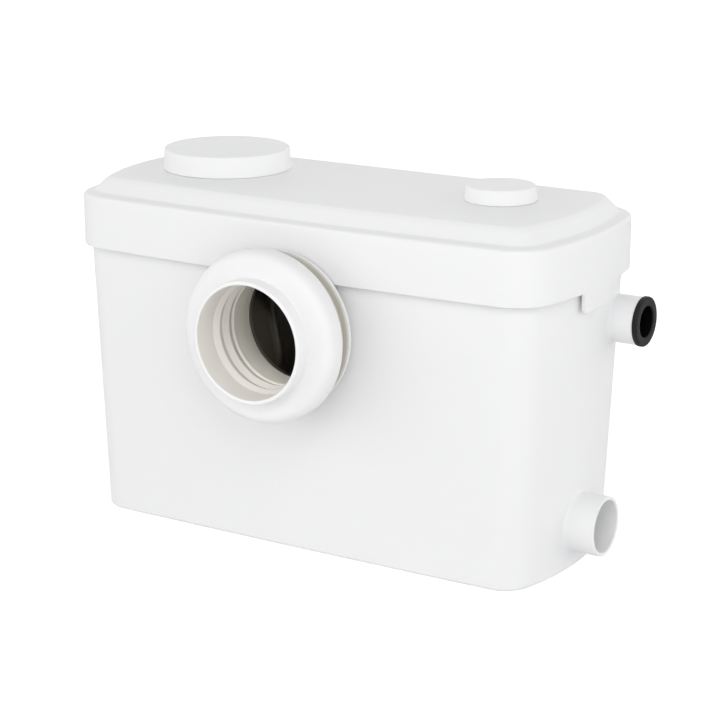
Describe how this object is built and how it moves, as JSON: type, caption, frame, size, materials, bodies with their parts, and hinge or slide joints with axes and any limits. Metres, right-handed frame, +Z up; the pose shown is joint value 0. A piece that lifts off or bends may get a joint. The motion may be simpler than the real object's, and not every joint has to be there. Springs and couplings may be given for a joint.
{
  "type": "macerator toilet pump",
  "caption": "White macerator pump with a lift-off lid, a front sleeve for a toilet outlet, a side waste inlet, a discharge stub and a motor, pump and level switch inside.",
  "frame": {"origin": "middle of the tank's flat underside", "axes": "+X right seen from the front, -Y the front with the toilet sleeve, +Z up"},
  "size_m": [0.439, 0.238, 0.287],
  "materials": {
    "white_shell": "smooth semi-gloss white moulding",
    "soft_white": "soft white moulding",
    "black_rubber": "matt black rubber",
    "black_plastic": "glossy black moulding",
    "grey_plastic": "plain grey moulding",
    "motor_metal": "grey coat",
    "lamination": "stacked sheet",
    "copper": "lacquered copper wire",
    "steel": "stainless steel",
    "white_plastic": "plain white",
    "red_plastic": "plain red",
    "green_board": "lacquered board",
    "charcoal": "porous black block"
  },
  "bodies": {
    "tank": {"tank": "white_shell", "inlet_neck": "white_shell", "outlet_stub": "white_shell", "side_spigot": "white_shell", "wc_sleeve": "soft_white", "outlet_bush": "black_rubber", "basket": "black_plastic", "motor_can": "motor_metal", "motor_end_cover": "motor_metal", "motor_flange": "motor_metal", "motor_cradle": "black_plastic", "stator_core": "lamination", "stator_windings": "copper", "front_bearing": "steel", "rear_bearing": "steel", "shaft_seal": "black_rubber", "volute": "grey_plastic", "suction_cover": "grey_plastic", "discharge_elbow": "grey_plastic", "discharge_pipe": "grey_plastic", "valve_seat": "grey_plastic", "valve_body": "grey_plastic", "valve_pin": "steel", "inlet_flap_frame": "grey_plastic", "inlet_flap_pin": "steel", "pressure_bell": "grey_plastic", "diaphragm": "black_rubber", "diaphragm_cover": "grey_plastic", "switch_bracket": "steel", "microswitch": "black_plastic", "control_box": "grey_plastic", "control_cover": "grey_plastic", "capacitor": "white_plastic", "circuit_board": "green_board", "terminal_block": "grey_plastic", "cable_gland": "grey_plastic", "gland_nut": "grey_plastic", "pump_screws": "steel", "valve_screws": "steel", "diaphragm_screws": "steel", "control_screws": "steel"},
    "lid": {"lid": "white_shell", "lid_seal": "black_rubber", "charcoal_filter": "charcoal"},
    "service_cap": {"service_cap": "white_shell", "service_cap_seal": "black_rubber"},
    "vent_cap": {"vent_cap": "white_shell"},
    "rotor": {"rotor": "lamination", "shaft": "steel", "impeller": "grey_plastic", "cutter_blade": "steel", "blade_nut": "steel"},
    "valve_flap": {"valve_flap": "black_rubber"},
    "inlet_flap": {"inlet_flap": "black_rubber"},
    "plunger": {"plunger": "white_plastic", "diaphragm_plate": "grey_plastic"},
    "switch_button": {"switch_button": "red_plastic"}
  },
  "joints": [
    {"name": "lid_lift", "type": "slide", "parent": "tank", "child": "lid", "axis": [0, 0, 1], "range_m": [0, 0.08]},
    {"name": "service_cap_lift", "type": "slide", "parent": "lid", "child": "service_cap", "axis": [0, 0, 1], "range_m": [0, 0.04]},
    {"name": "vent_cap_lift", "type": "slide", "parent": "lid", "child": "vent_cap", "axis": [0, 0, 1], "range_m": [0, 0.03]},
    {"name": "shaft_turn", "type": "hinge", "parent": "tank", "child": "rotor", "pos_m": [-0.1136, -0.03118, 0.072], "axis": [1, 0, 0], "continuous": true},
    {"name": "valve_swing", "type": "hinge", "parent": "tank", "child": "valve_flap", "pos_m": [0.1085, 0.053, 0.196], "axis": [0, -1, 0], "range_deg": [0, 65]},
    {"name": "inlet_flap_swing", "type": "hinge", "parent": "tank", "child": "inlet_flap", "pos_m": [0.181, 0, 0.0602], "axis": [0, 1, 0], "range_deg": [0, 60]},
    {"name": "plunger_slide", "type": "slide", "parent": "tank", "child": "plunger", "axis": [0, 0, 1], "range_m": [0, 0.0025], "stiffness_N_per_m": 300},
    {"name": "button_slide", "type": "slide", "parent": "tank", "child": "switch_button", "axis": [0, 0, 1], "range_m": [0, 0.0025]}
  ],
  "couplings": [
    {"joint": "button_slide", "follows": "plunger_slide", "ratio": 1}
  ]
}
